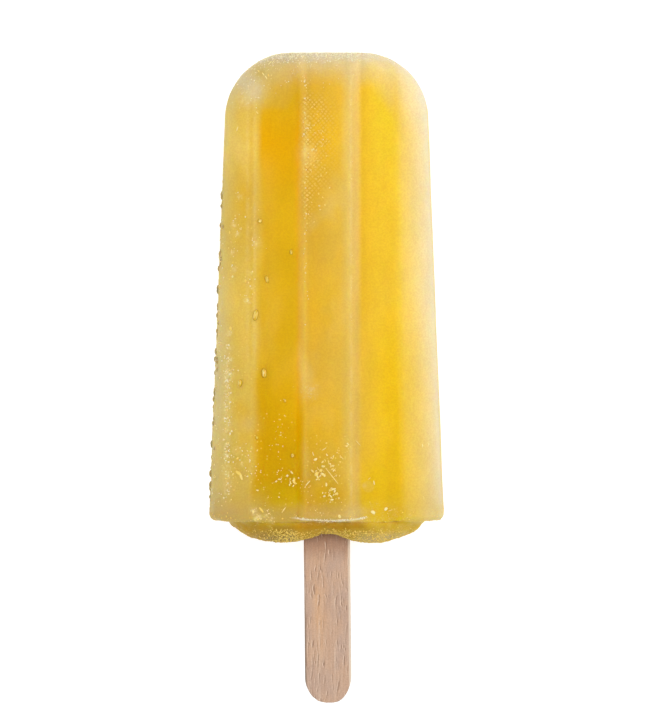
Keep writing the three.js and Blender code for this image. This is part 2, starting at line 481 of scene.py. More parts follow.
def barSurface():
    # rings from the middle of the swelling out to the rim, round the rim's corner, up the wall and the tip
    count = barGrid["swellRows"]
    reach = np.sin(np.arange(1, count + 1) / count * pi / 2)[:, None]
    rimX, rimZ = wholeOutline(*quarterOutline(np.zeros((1, 1)), False))
    swellX = rimX * reach * swell["halfWidth"] / bar["rimHalfWidth"]
    swellZ = rimZ * reach * swell["halfThickness"] / bar["rimHalfThickness"]
    under = np.stack([swellX, -swellDepth(swellX, reach), swellZ], -1)

    angle = (np.arange(barGrid["rimRows"]) / barGrid["rimRows"] * pi / 2)[:, None]
    y = np.full_like(angle, bar["rimRadius"])
    x, z = wholeOutline(*quarterOutline(y, True))
    # the corner is left out where a channel runs down into the swelling
    corner = 1 - 0.95 * channelShape(np.abs(x), y) * smooth(np.abs(z), 8, 10)
    inset = bar["rimRadius"] * (1 - np.sin(angle)) * corner
    x = x * (1 - inset / halfWidth(y))
    z = z * (1 - inset / halfThickness(y))
    rim = np.stack([x, bar["rimRadius"] * (1 - np.cos(angle)) + 0 * x, z], -1)

    wallEnd = bar["length"] - bar["cornerRadius"]
    wall = np.linspace(bar["rimRadius"], wallEnd, barGrid["wallRows"], endpoint=False)
    tip = wallEnd + bar["cornerRadius"] * np.sin(np.linspace(0, pi / 2, barGrid["tipRows"]))
    y = np.concatenate([wall, tip])[:, None]
    x, z = wholeOutline(*quarterOutline(y, True))
    body = np.stack([x, y + 0 * x, z], -1)
    return np.concatenate([under, rim, body])


relief = {
    "waves": 0.06,
    "underLumps": 0.3,
    "underGrain": 0.2,
    "edgeGrain": 0.14,
    "tipGrain": 0.06,
    "rimGrain": 0.1,
}


def withRelief(points, normals):
    # soft waves all over, lumps and grain under the rim, and grain on the rim, the left side and the tip
    x, y, z = np.moveaxis(points, -1, 0)
    clearOfStick = smooth(np.hypot(x / 6.5, z / 3.0), 0.9, 1.6)
    under = (1 - smooth(y, -0.6, 0.6)) * clearOfStick
    side = smooth(-x, 20.5, 23.5) * smooth(-y, -84, -66)
    height = relief["waves"] * softNoise(points * [1, 0.5, 1], 5, 1)
    # where it lies, its height, the size of its cells and a seed
    layers = [
        (under, "underLumps", 3.2, 2),
        (under, "underGrain", 1.1, 3),
        (side, "edgeGrain", 1.2, 4),
        (smooth(y, 86, 97), "tipGrain", 1.0, 5),
        (between(y, -0.8, 0.4, 1.5, 4.5), "rimGrain", 1.3, 6),
    ]
    for share, key, size, seed in layers:
        height = height + share * relief[key] * softNoise(points, size, seed)
    return points + normals * height[..., None]


# soft spots on the front: x, y, a radius or a width and a height, and a strength
frontSpots = {
    "flank": [(-3.6, 77.6, (1.6, 3.2), 0.45), (-4.1, 78.8, 1.8, 0.55)],
    "veil": [
        (-18.2, 94.6, 2.0, 0.6), (-15.6, 92.0, 2.3, 0.8), (-14.2, 96.4, 1.6, -0.35),
        (-16.8, 20.8, 2.2, 0.25), (-15.6, 67.0, (1.1, 7.0), 0.18),
    ],
    "hoar": [(-16.4, 93.2, 3.6, 0.3), (-3.6, 28.2, 2.0, 0.2)],
    "haze": [(-21.3, 1.8, 2.2, 0.5), (-15.6, 4.2, 2.6, 0.35), (23.6, 1.6, 2.4, 0.6)],
    # painted light and shade
    "light": [
        (-15.5, 92.4, 2.2, 0.08), (-14.2, 96.4, 1.6, -0.08),
        (11.0, 57.0, (3.5, 10.0), -0.055), (-14.4, 75.0, (1.5, 8.0), -0.06),
    ],
    "wideTufts": [(-3.9, 28.4, 2.0, 0.2), (-17.5, 90.5, 1.6, 0.35)],
    "tufts": [
        (-20.0, 63.6, 0.6, 0.8), (-15.1, 59.6, 0.9, 0.55), (-16.5, 53.2, 0.6, 0.6), (-16.0, 50.2, 0.6, 0.6),
        (-17.0, 47.4, 0.7, 0.6), (-20.9, 40.5, 0.7, 0.6), (-20.6, 37.3, 0.6, 0.5), (-19.2, 61.7, 0.6, 0.6),
        (-18.6, 69.6, 0.8, 0.5), (-20.2, 57.5, 0.7, 0.5), (-19.7, 54.1, 0.6, 0.6), (-20.4, 34.6, 0.6, 0.5),
        (-20.7, 31.4, 1.3, 0.5), (-16.9, 14.5, 1.6, 0.12), (-16.2, 10.5, 1.4, 0.12), (-18.2, 12.4, 0.5, 0.6),
        (-14.9, 0.9, 0.9, 0.8), (-13.2, 1.4, 0.9, 0.5), (-15.6, 2.4, 0.6, 0.6), (-11.8, 0.3, 1.0, 0.4),
    ],
}
fromBelow, toAbove = (-9, -8), (110, 111)  # limits past both ends of the bar
# painted light and shade, where the colours are made lighter or darker up the bar: x, width, beginning, end
# and strength
lightStripes = [
    (-6.2, 0.8, fromBelow, (78, 90), 0.11),
    (-5.2, 0.9, fromBelow, toAbove, 0.06),
    (-5.2, 0.9, (68, 78), toAbove, 0.08),
    (-3.9, 0.6, fromBelow, toAbove, -0.04),
    (4.3, 0.8, fromBelow, toAbove, -0.06),
    (6.0, 0.7, fromBelow, (11, 18), 0.075),
    (6.4, 0.8, (66, 80), toAbove, 0.03),
    (6.8, 0.55, (40, 60), toAbove, 0.07),
    (7.7, 0.9, (36, 52), toAbove, -0.065),
]
# where the rib's middle is clearer: height, width and strength
clearStretches = [(82, 9, 0.7), (46, 6, 0.45), (20, 6.5, 0.55), (5.8, 2.8, 0.85)]
# where specks lie: limits across and along, and how many
speckFields = [
    ((-23, -21, -15, -13.5), (3, 12, 68, 76), 0.2),
    ((-17, -15, -8, -6), (0, 3, 20, 29), 0.28),
    ((-6.5, -4, 4, 6.5), (1, 3, 15, 24), 0.36),
    ((7, 9, 20, 23), (0, 1, 4, 9), 0.16),
]
recessMiddle = 0.6  # x of the middle of the hollow at the stick


def sidePaleness(away, y, toRight):
    # paleness towards the sides, partly frost and partly painted light from the right: on the right it grows
    # from the channel out to the edge, faster high up; on the left it keeps to the edge
    channelEdge, width = features(y)[3], halfWidth(y)
    share = np.clip((away - channelEdge + 0.6) / (width - channelEdge + 0.6), 0, 1)
    right = 0.85 * share ** (2.0 - 0.8 * smooth(y, 24, 52)) + 0.2 * smooth(y, 82, 91) * smooth(share, 0, 0.4)
    left = smooth(share, 0.45, 0.95) * (1 - 0.65 * smooth(y, 36, 56)) * (1 - 0.3 * bell(y, 13, 7))
    return left + (right - left) * toRight


def amberShare(x, y, points):
    # the channels' deep colour: its inner and outer limits across, and how far up it runs
    away, toRight = np.abs(x), smooth(x, -4, 4)
    channelEdge = features(y)[3]
    further = (0.9 * (1 - smooth(y, 24, 34)) + 0.5 * smooth(y, 80, 86)) * (1 - toRight)
    inner = smooth(away, 5.3 + 0.9 * toRight - further, 6.7 + 1.0 * toRight - further)
    wander = 0.35 * softNoise(points * [0, 1, 0], 6.0, 15)
    middleLeft = channelEdge - 1.0 - 0.7 * bell(y, 63, 6) + 0.5 * (1 - smooth(y, 8, 18)) + wander
    middleRight = channelEdge - 0.1 - 0.45 * smooth(y, 15, 50) - 2.2 * smooth(y, 85, 91)
    middle = middleLeft + (middleRight - middleLeft) * toRight
    half = 1.15 - 0.45 * smooth(y, 64, 76) * (1 - toRight) + (0.05 + 0.35 * smooth(y, 15, 50)) * toRight
    # on the left it thins out towards its outer limit halfway up
    thin = 1 - (0.24 - 0.1 * bell(y, 43, 6)) * smooth(-x, 8.5, 13.5) * between(y, 26, 40, 74, 82)
    # it starts lower on the left than on the right, and reaches up beside the rib
    start = 87.8 + 3.4 * smooth(-x, 8.5, 6.5) + 2 * toRight + 0.8 * softNoise(points, 2.4, 11)
    runOut = 1 - 0.32 * smooth(y, start, start + 1.7) - 0.68 * smooth(y, start + 0.8, start + 7)
    return inner * (1 - smooth(away, middle - half, middle + half)) * runOut * thin


def clearShare(x, y):
    # where the middle of the rib is clearer and deeper in colour, further to the right near the rim
    share = sum(strength * bell(y, middle, height) for middle, height, strength in clearStretches)
    return share * (1 - smooth(np.abs(x + 0.6 - 2.2 * bell(y, 5.5, 4)), 2.6, 5.2))


def flankShare(x, y):
    # a pale strip along each side of the rib, partly frost and partly painted light that offsets the shade on
    # the rib's walls; the left one is narrower and paler near the tip
    high = smooth(y, 70, 80)
    left = bell(x, -5.0 + 0.4 * high, 0.95 - 0.3 * high) * (0.35 + 0.35 * high) * smooth(y, 20, 34)
    left = left * (1 - 0.8 * smooth(y, 84, 90)) + spots(x, y, frontSpots["flank"])
    return np.maximum(left, between(x, 2.6, 5.2, 6.2, 7.7) * (0.6 + 0.4 * smooth(y, 40, 62)))


def fringeShadeShare(points, away, width, toRight):
    # painted shade: a slightly darker, uneven middle of the sides, which fades towards the tip
    y, z = points[..., 1], points[..., 2]
    middle = (1 - smooth(np.abs(z), 0.4, 4.4)) * smooth(away, width - 1.5, width - 0.5)
    fading = 0.6 * smooth(y, 84, 94) * (1 - toRight) + 0.85 * smooth(y, 56, 96) * toRight
    share = middle * between(y, -0.5, 1, 98, 100) * (1 - fading) * (1 - 0.55 * toRight)
    return share * (0.9 + 0.5 * softNoise(points * [1, 0.55, 1], 4.0, 16))


def veilShare(points):
    # a smooth veil over the tip, which starts higher or lower across it and is thinner over its flat end
    x, y, z = np.moveaxis(points, -1, 0)
    start = 86.5 + 6 * smooth(-x, 16, 11) - 5.4 * smooth(x, 8, 14) - 3.2 * bell(x, 5.6, 1.8)
    start = start + 0.6 * softNoise(points, 4.0, 12)
    veil = np.clip((y - start) / (99.8 - start), 0, 1) ** 1.5 + spots(x, y, frontSpots["veil"])
    return veil * (1 - 0.55 * smooth(y, 98.5, 100.6) * (1 - smooth(np.abs(z), 1.0, 5.5)))


def weaveShare(points):
    # a fine lattice on the left of the rib, closest beside its edge
    x, y = points[..., 0], points[..., 1]
    beside = bell(x, -4.1, 1.3) * (0.8 + 0.4 * softNoise(points, 2.2, 13)) * smooth(y, 58, 72)
    across = between(x, -5.6, -4.4, -2.6, 4.2) * (0.64 + 0.36 * softNoise(points, 3.0, 14))
    return np.maximum(beside, across * smooth(y, 66, 76)) * (1 - smooth(y, 88.5, 94))


def lightShare(x, y):
    # painted light and shade: how much lighter or darker the colours are, where the light leaves the form too
    # dark or too bright
    left, lowLeft = smooth(-x, 14, 16), smooth(-x, 4, 6)
    side = 0.035 + 0.14 * bell(y, 82, 7) - 0.05 * bell(y, 71, 5) + 0.08 * bell(y, 47, 7)
    paintedLightAndShade = stripes(x, y, lightStripes) + spots(x, y, frontSpots["light"])
    paintedLightAndShade = paintedLightAndShade + side * left * between(y, 1, 8, 90, 95)
    paintedLightAndShade = paintedLightAndShade + 0.075 * bell(y, 78, 10) * smooth(-x, 5, 14) * (1 - left)
    paintedLightAndShade = paintedLightAndShade + 0.09 * bell(y, 82, 7) * (1 - smooth(np.abs(x), 3.8, 5.2))
    paintedLightAndShade = paintedLightAndShade - 0.07 * bell(y, 3.4, 2.6) * (1 - smooth(np.abs(x), 2.4, 4.2))
    paintedLightAndShade = paintedLightAndShade - 0.08 * bell(y, 1.2, 1.6) * (lowLeft + 0.7 * between(x, 10, 13, 16, 20))
    ridge = (1 - smooth(y, 50, 70)) * (1 - 0.7 * bell(y, 47, 8)) * (0.3 + 0.7 * smooth(y, 12, 26))
    paintedLightAndShade = paintedLightAndShade - 0.085 * bell(x, -15.4, 1.6) * ridge * (1 - 0.6 * bell(y, 31, 4))
    paintedLightAndShade = paintedLightAndShade - 0.065 * smooth(y, 86.5, 91) * smooth(-x, 2, 6) * (1 - left)
    paintedLightAndShade = paintedLightAndShade - 0.035 * smooth(x, 5, 9) * (1 - smooth(y, 28, 48))
    return 1 + paintedLightAndShade - 0.06 * smooth(x, 2, 8) * (1 - smooth(y, 3, 10))


def barValues(points):
    # numbers that the ice's material reads at each vertex: millimetres, and shares from 0 to 1
    x, y, z = np.moveaxis(points, -1, 0)
    onBar = np.clip(y, 0, bar["length"])
    away, width, toRight = np.abs(x), halfWidth(onBar), smooth(x, -6, 6)
    # paleness on the rounded edges, but less on the sides
    onEdge = 0.35 + 0.65 * smooth(np.abs(z) / halfThickness(onBar), 0.16, 0.42)
    # hoar along the edges and over the tip, tufts of it in places, and a tan haze over the lower edge
    hoar = 0.16 * smooth(y, 92, 99) + 0.4 * smooth(y, 97.8, 100.2) + 0.3 * between(y, -1.4, 0.2, 0.4, 6.0)
    hoar = hoar + 0.1 * smooth(away, width - 3, width) + spots(x, y, frontSpots["hoar"])
    tuft = 0.45 * bell(x, -21.5, 0.9) * between(y, 2, 8, 32, 42)
    haze = (0.45 + 0.2 * bell(x, 5.6, 1.3)) * between(y, -0.3, 0.5, 1.5, 4.8) * (1 - smooth(x, 6, 11))
    speck = sum(amount * between(x, *wide) * between(y, *high) for wide, high, amount in speckFields)
    # painted shade in the hollow under the rib's ledge, beside the stick
    recessShade = (1 - smooth(np.abs(x - recessMiddle), 5.5, 9.5)) * between(y, -2.0, -0.8, -0.1, 0.3)
    shares = {
        "groove": amberShare(x, onBar, points),
        "clear": clearShare(x, onBar),
        # painted shade on the swelling's lobes below the rim
        "lobeShade": smooth(-y, 1.4, 4.4) * smooth(z, 2, 8) * smooth(away, 5, 8),
        "fringeShade": fringeShadeShare(points, away, width, toRight),
        "veil": veilShare(points),
        "haze": haze + spots(x, y, frontSpots["haze"]),
        "hoar": hoar,
        "tuft": tuft + spots(x, y, frontSpots["wideTufts"] + frontSpots["tufts"]),
        "speck": speck + 0.05 * smooth(y, 1, 4),
        "weave": weaveShare(points),
        "under": 1 - smooth(y, -1.3, 0.1),
        "recessShade": recessShade,
    }
    values = {key: np.clip(share, 0, 1) for key, share in shares.items()}
    values["across"], values["rise"] = x, y
    values["flank"] = flankShare(x, y)
    values["side"] = sidePaleness(away, onBar, toRight) * np.maximum(onEdge, smooth(y, 84, 92))
    # painted light and shade
    values["paintedLightAndShade"] = lightShare(x, y)
    return values


# ---- the ice's looks ----
# the Right colours are lighter than the Left ones, partly as the ice's own colour and partly as painted light
# from the right
iceLook = {
    "channelLeftLow": rgb(223, 174, 0),
    "channelLeft": rgb(226, 180, 18),
    "channelLeftTop": rgb(232, 176, 0),
    "channelRight": rgb(238, 195, 64),
    "channelRightDeep": rgb(244, 202, 28),
    "channelLeftEnd": rgb(222, 183, 4),
    "channelRightTop": rgb(245, 198, 48),
    "channelRightOuter": rgb(247, 206, 54),
    "channelRightTip": rgb(248, 213, 50),
    "crownLeft": rgb(226, 194, 90),
    "crownLeftMiddle": rgb(226, 188, 74),
    "crownRight": rgb(243, 206, 78),
    "edgeLeft": rgb(218, 196, 130),
    "edgeRight": rgb(243, 230, 200),
    "fringeShadeLeft": rgb(174, 149, 86),
    "fringeShadeRight": rgb(214, 189, 114),
    "ribLeft": rgb(226, 180, 52),
    "ribRight": rgb(230, 192, 74),
    "ribClear": rgb(232, 186, 22),
    "flankLeft": rgb(242, 208, 122),
    "flankRight": rgb(238, 204, 114),
    "ribLine": rgb(248, 226, 168),
    "seamPale": rgb(232, 204, 122),
    "seamDark": rgb(212, 168, 50),
    "veilLeft": rgb(221, 203, 155),
    "veilRight": rgb(238, 218, 170),
    "hazeLeft": rgb(210, 180, 112),
    "hazeRight": rgb(228, 202, 132),
    "frostLeft": rgb(225, 211, 176),
    "frostRight": rgb(244, 230, 196),
    "frostLowLeft": rgb(212, 178, 102),
    "frostLowRight": rgb(238, 208, 124),
    "tuft": rgb(248, 230, 160),
    "speck": rgb(254, 228, 122),
    "weave": rgb(253, 222, 122),
    "weaveGap": rgb(210, 157, 44),
    "underLeft": rgb(204, 160, 44),
    "underRight": rgb(228, 188, 56),
    "lobeShadeLeft": rgb(150, 130, 88),
    "lobeShadeRight": rgb(216, 194, 142),
    "recessShade": rgb(190, 138, 20),
    "rimLine": rgb(250, 240, 205),
    "disc": rgb(241, 211, 122),
    "lowShade": (0.80, 0.78, 0.72, 1.0),
}


iceNumbers = (
    "across", "rise", "groove", "clear", "lobeShade", "flank", "fringeShade", "side", "veil", "haze", "hoar", "tuft",
    "speck", "weave", "under", "recessShade", "paintedLightAndShade",
)
# fine seams on the left ridge: x, strength and colour
iceSeams = [(-17.0, 0.35, "seamPale"), (-15.4, 0.4, "seamPale"), (-16.1, 0.35, "seamDark")]
# bubbles under the surface: x, y, how far out they begin to fade, radius and strength; the third row is a
# painted highlight on the second bubble
bubbles = [(-19.3, 15.2, 0.85, 1.25, 0.35), (8.9, 7.6, 1.0, 1.5, 0.22), (8.0, 7.8, 0.1, 0.85, 0.4)]


def sided(tree, share, key):
    # goes from the left one to the right one of a pair of the ice's colours; the right ones are lighter,
    # partly as the ice's own colour and partly as painted light from the right
    return blend(tree, share, iceLook[key + "Left"], iceLook[key + "Right"])


def layered(tree, colour, layers):
    # lays colours over one another, each as thick as its share
    for share, over in layers:
        colour = blend(tree, share, colour, iceLook[over] if isinstance(over, str) else over)
    return colour


def paleIce(tree, at):
    # the crowns beside the channels, paler towards the sides, and the rib between them; their right halves
    # are lighter, partly by their own colour and partly by painted light from the right
    middle = line(tree, at["rise"], 68.0, 20.0, 0.9)
    crownLeft = blend(tree, middle, iceLook["crownLeft"], iceLook["crownLeftMiddle"])
    crowns = blend(tree, at["rightHalf"], crownLeft, iceLook["crownRight"])
    crowns = blend(tree, at["side"], crowns, sided(tree, at["rightHalf"], "edge"))
    rib = sided(tree, ramp(tree, at["across"], -5.0, 4.5), "rib")
    return blend(tree, ramp(tree, calc(tree, "ABSOLUTE", at["across"]), 6.0, 14.0), rib, crowns)


def deepIce(tree, at):
    # the channels' colours, which change up their length, and in the right one outwards too; the right one is
    # paler, partly by its own colour and partly by painted light from the right
    left = layered(tree, iceLook["channelLeftLow"], [
        (ramp(tree, at["rise"], 20.0, 40.0), "channelLeft"),
        (line(tree, at["rise"], 80.0, 13.0, 1.0), "channelLeftTop"),
        (ramp(tree, at["rise"], 11.0, 4.0), "channelLeftEnd"),
    ])
    outward = ramp(tree, at["across"], 6.5, 13.5)
    deeper = calc(tree, "ADD", outward, ramp(tree, at["rise"], 3.0, 20.0, 0.8, 0.0), clamp=True)
    low = blend(tree, deeper, iceLook["channelRight"], iceLook["channelRightDeep"])
    high = blend(tree, outward, iceLook["channelRightTop"], iceLook["channelRightOuter"])
    right = layered(tree, low, [
        (ramp(tree, at["rise"], 30.0, 52.0), high),
        (times(tree, ramp(tree, at["rise"], 72.0, 85.0), outward), "channelRightTip"),
    ])
    return blend(tree, at["rightHalf"], left, right)


def bubbleShare(tree, at, x, y, clearTo, radius, strength):
    # a faint disc around a place
    apart = {0: calc(tree, "SUBTRACT", at["across"], x), 1: calc(tree, "SUBTRACT", at["rise"], y)}
    offCentre = {0: addNode(tree, "CombineXYZ", apart).outputs[0]}
    length = addNode(tree, "VectorMath", offCentre, operation="LENGTH").outputs["Value"]
    return ramp(tree, length, clearTo, radius, strength, 0.0)


def threadLattice(tree, at):
    # two sets of slanting threads, a little uneven, that cross in a fine lattice
    wander = ramp(tree, noise(tree, at["place"], 420.0, 1.0), 0.3, 0.7, 0.0, 3.2)
    threads = []
    for how in ("ADD", "SUBTRACT"):
        slant = times(tree, calc(tree, how, at["across"], at["rise"]), 6.3)
        threads.append(ramp(tree, calc(tree, "SINE", calc(tree, "ADD", slant, wander)), -1.0, 0.4))
    return times(tree, *threads)


def rimLight(tree, at):
    # a bright, broken line along the rib's lower edge, bowed up towards its ends: pale crystals and a painted
    # highlight on the edge
    fromMiddle = calc(tree, "ABSOLUTE", calc(tree, "SUBTRACT", at["across"], recessMiddle))
    bow = times(tree, times(tree, fromMiddle, fromMiddle), 0.01)
    edgeLine = line(tree, calc(tree, "SUBTRACT", at["rise"], bow), 0.31, 0.3, 0.9)
    edgeLine = times(tree, edgeLine, ramp(tree, fromMiddle, 6.4, 8.8, 1.0, 0.0))
    patches = ramp(tree, noise(tree, at["place"], 700.0, 2.0, 0.6), 0.3, 0.7, 0.5, 1.0)
    return times(tree, edgeLine, patches)


def shaded(tree, at, colour, cloud):
    # a fine grain that shows less in the red, over soft random shades and the painted light and shade
    fine = ramp(tree, noise(tree, at["place"], 2700.0, 2.0, 0.6), 0.3, 0.7, 0.93, 1.07)
    fineRed = ramp(tree, fine, 0.93, 1.07, 0.97, 1.03)
    soft = times(tree, ramp(tree, cloud, 0.0, 1.0, 0.97, 1.03), at["paintedLightAndShade"])
    shade, redShade = times(tree, fine, soft), times(tree, fineRed, soft)
    tone = addNode(tree, "CombineColor", {0: redShade, 1: shade, 2: shade}).outputs[0]
    return blend(tree, 1.0, colour, tone, "MULTIPLY")


def iceMaterial():
    material, tree, shader = newMaterial("frozenJuice")
    at = {key: attribute(tree, key) for key in iceNumbers}
    place, across, rise = addNode(tree, "TexCoord").outputs["Object"], at["across"], at["rise"]
    rightHalf = ramp(tree, across, -1.5, 1.5)
    at.update(place=place, rightHalf=rightHalf)
    leftToRight = ramp(tree, across, -14.0, 16.0)
    lessRight = ramp(tree, across, 0.0, 8.0, 1.0, 0.25)

    # soft clouds of paler ice, and places where the deep colour shows through the paler
    cloud = ramp(tree, noise(tree, stretched(tree, place, (1.0, 0.45, 1.0)), 190.0, 3.0, 0.55), 0.3, 0.7)
    drifts = noise(tree, stretched(tree, place, (1.0, 0.6, 1.0)), 120.0)
    clouds = ramp(tree, drifts, 0.3, 0.48, 0.35, 0.0)
    deepColour = deepIce(tree, at)
    broken = ramp(tree, noise(tree, place, 500.0, 2.0, 0.6), 0.35, 0.65, 0.2, 1.0)
    seamPart = times(tree, ramp(tree, rise, 24.0, 44.0), broken)
    seams = [(times(tree, line(tree, across, x, 0.6, strong), seamPart), key) for x, strong, key in iceSeams]
    colour = layered(tree, paleIce(tree, at), [
        (times(tree, ramp(tree, drifts, 0.52, 0.72, 0.0, 0.4), lessRight), deepColour),
        (times(tree, clouds, lessRight), "seamPale"),
        (at["clear"], "ribClear"),
        (times(tree, at["groove"], ramp(tree, cloud, 0.0, 1.0, 1.0, 0.97)), deepColour),
        (times(tree, clouds, 0.12), "seamPale"),
        (times(tree, at["flank"], 0.8), sided(tree, rightHalf, "flank")),
        # a broken pale line on the rib's right edge, partly frost and partly a painted highlight
        (times(tree, line(tree, across, 5.2, 0.5, 0.3), broken), "ribLine"),
        *seams,
        (times(tree, at["veil"], 0.9), sided(tree, leftToRight, "veil")),
        *[(bubbleShare(tree, at, *bubble), "disc") for bubble in bubbles],
        (at["under"], sided(tree, ramp(tree, across, 1.0, 12.0), "under")),
    ])
    low = times(tree, ramp(tree, rise, 2.0, 26.0, 0.6, 0.0), ramp(tree, across, -4.0, 14.0, 1.0, 0.45))
    colour = blend(tree, low, colour, iceLook["lowShade"], "MULTIPLY")
    colour = layered(tree, colour, [
        (at["haze"], sided(tree, ramp(tree, across, 0.0, 6.0), "haze")),
        # painted shade in the hollow under the ledge
        (times(tree, at["recessShade"], 0.85), "recessShade"),
        # painted shade on the swelling's lobes, darker on the left
        (times(tree, at["lobeShade"], 0.75), sided(tree, rightHalf, "lobeShade")),
    ])
    colour = shaded(tree, at, colour, cloud)

    patchy = ramp(tree, noise(tree, place, 800.0, 2.0, 0.6), 0.3, 0.7, 0.2, 1.0)
    woven = times(tree, at["weave"], patchy)
    weave = times(tree, woven, threadLattice(tree, at))
    bareUnder = calc(tree, "SUBTRACT", at["under"], at["recessShade"], clamp=True)
    hoar = calc(tree, "ADD", at["hoar"], times(tree, bareUnder, 0.16))
    rime = useGroup(tree, frost, {"Vector": place, "Amount": hoar})
    coarse = {"Vector": place, "Amount": at["tuft"], "Drift": 700.0, "Grain": 1700.0}
    tufts = useGroup(tree, frost, coarse)
    dots = useGroup(tree, specks, {"Vector": place, "Amount": at["speck"]})["Cover"]
    lowFrost, highFrost = (sided(tree, leftToRight, key) for key in ("frostLow", "frost"))
    colour = layered(tree, colour, [
        (times(tree, woven, 0.8), "weaveGap"),
        (weave, "weave"),
        (times(tree, rime["Cover"], 0.85), blend(tree, ramp(tree, rise, 4.0, 30.0), lowFrost, highFrost)),
        (times(tree, tufts["Cover"], 0.8), "tuft"),
        (times(tree, dots, 0.6), "speck"),
        (times(tree, at["fringeShade"], ramp(tree, cloud, 0.0, 1.0, 0.5, 0.8)), sided(tree, rightHalf, "fringeShade")),
        (rimLight(tree, at), "rimLine"),
    ])

    height = calc(tree, "ADD", rime["Height"], times(tree, dots, 0.8))
    for part, share in ((tufts["Height"], 2.0), (noise(tree, place, 900.0), 0.15), (weave, 0.5)):
        height = calc(tree, "ADD", height, times(tree, part, share))
    bump = addNode(tree, "Bump", {"Height": height, "Distance": 0.00012, "Strength": 0.45})
    plug(tree, shader, {
        "Base Color": colour,
        "Normal": bump.outputs[0],
        "Roughness": ramp(tree, rime["Cover"], 0.0, 1.0, 0.4, 0.62),
        "Subsurface Weight": 0.8,
        "Subsurface Radius": (1.0, 0.62, 0.15),
        "Subsurface Scale": 0.006,
        "Specular IOR Level": 0.04,
        "IOR": 1.31,
    })
    return material


def makeBar():
    points = barSurface()
    values = barValues(points)
    points = withRelief(points, gridNormals(points))
    ends = np.array([[0, -swell["saddleDepth"], 0], [0, bar["length"], 0]])
    whole, faces, flat = closedGrid(points, ends, values)
    piece = newPiece("iceBar", insideBox(toFrame(whole)), faces, iceMaterial(), flat)
    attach(piece, "root")
    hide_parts("ice")
    print("bar:", len(whole), "vertices")
    return points, gridNormals(points)


barPoints, barNormals = makeBar()

# ---- the stick ----
stickGrid = {"rows": 300, "hiddenRows": 24, "face": 44, "edge": 5, "side": 4}
stickEnd = {"leftLength": 5.2, "leftWidth": 4.4, "rightLength": 5.6, "rightWidth": 3.95, "power": 1.75}
stickLook = {
    "plain": rgb(199, 162, 135),
    "grey": rgb(186, 156, 139),
    "warm": rgb(214, 166, 122),
    "pale": rgb(234, 207, 182),
    "dark": rgb(146, 108, 86),
    "darkerNearIce": rgb(166, 121, 90),
    "shaded": rgb(146, 100, 46),
    "leftEdgeShade": rgb(140, 118, 100),
    "rightEdgeHighlight": rgb(236, 218, 196),
}


def fibreGroup():
    # short strokes along the grain, gathered in places
    group, given, gives = newGroup("fibres", [("Vector", "Vector", None)], [("Stroke", "Float")])
    along = stretched(group, given["Vector"], (1.0, 0.13, 1.0))
    inputs = {"Vector": along, "Scale": 2600.0, "Detail": 1.0, "Distortion": 0.6}
    strokes = ramp(group, addNode(group, "TexNoise", inputs).outputs["Fac"], 0.56, 0.72)
    places = noise(group, stretched(group, given["Vector"], (1.0, 0.45, 1.0)), 330.0)
    gathered = ramp(group, places, 0.38, 0.6, 0.12, 1.0)
    group.links.new(times(group, strokes, gathered), gives["Stroke"])
    return group


fibres = fibreGroup()


def stickSide(y, length, width):
    # half the stick's width, less an arc of this length and width at the end that shows
    gap = np.clip((length - (y + stick["showing"])) / length, 0, 1)
    far = np.clip((y + stick["showing"] - stick["length"] + stick["endLength"]) / stick["endLength"], 0, 1)
    arc = width * (1 - np.sqrt(1 - gap ** stickEnd["power"]))
    return (stick["width"] / 2 - arc) * np.sqrt(np.maximum(1 - far ** stick["endFullness"], 0.0004))


def stickSurface():
    # a rounded rectangle carried along the stick, its two sides following the ends' arcs
    shown = np.linspace(-stick["showing"], 2.0, stickGrid["rows"], endpoint=False)
    hidden = np.linspace(2.0, stick["length"] - stick["showing"], stickGrid["hiddenRows"])
    y = np.concatenate([shown, hidden])[:, None]
    edge = stick["edgeRadius"]
    half = stick["thickness"] / 2
    across = np.linspace(-1, 1, stickGrid["face"])
    turn = np.linspace(0, pi / 2, stickGrid["edge"] + 1)[1:-1]
    rise = np.linspace(1, -1, stickGrid["side"]) * (half - edge)
    # x as a share of the flat width and as a fixed inset from the side, for the front and then a side
    share = np.concatenate([across, np.ones(len(turn) * 2 + len(rise))])
    inset = np.concatenate([np.full(len(across), 0.0), np.sin(turn), np.ones(len(rise)), np.cos(turn)]) * edge
    z = np.concatenate([np.full(len(across), half), half - edge * (1 - np.cos(turn)), rise,
                        -half + edge * (1 - np.sin(turn))])
    share = np.concatenate([share, -share])
    inset = np.concatenate([inset, -inset])
    z = np.concatenate([z, -z])
    left = stickSide(y, stickEnd["leftLength"], stickEnd["leftWidth"]) - edge
    right = stickSide(y, stickEnd["rightLength"], stickEnd["rightWidth"]) - edge
    middle, flatHalf = (right - left) / 2, (right + left) / 2
    x = middle + share * flatHalf + inset
    return np.stack([x, y + 0 * x, z + 0 * x], -1)


def grainRelief(points, normals):
    # long narrow grooves with the grain, a few short nicks, and a worn end
    streaks = 0.6 * softNoise(points * [1, 0.05, 1], 0.33, 21)
    streaks = streaks + 0.4 * softNoise(points * [1, 0.12, 1], 0.6, 22)
    nicks = np.minimum(softNoise(points * [1, 0.2, 1], 0.5, 23) + 0.55, 0)
    worn = 1 - smooth(points[..., 1], -stick["showing"], -stick["showing"] + 3)
    height = 0.035 * streaks + 0.09 * nicks + worn * 0.05 * softNoise(points, 0.7, 24)
    return points + normals * height[..., None]


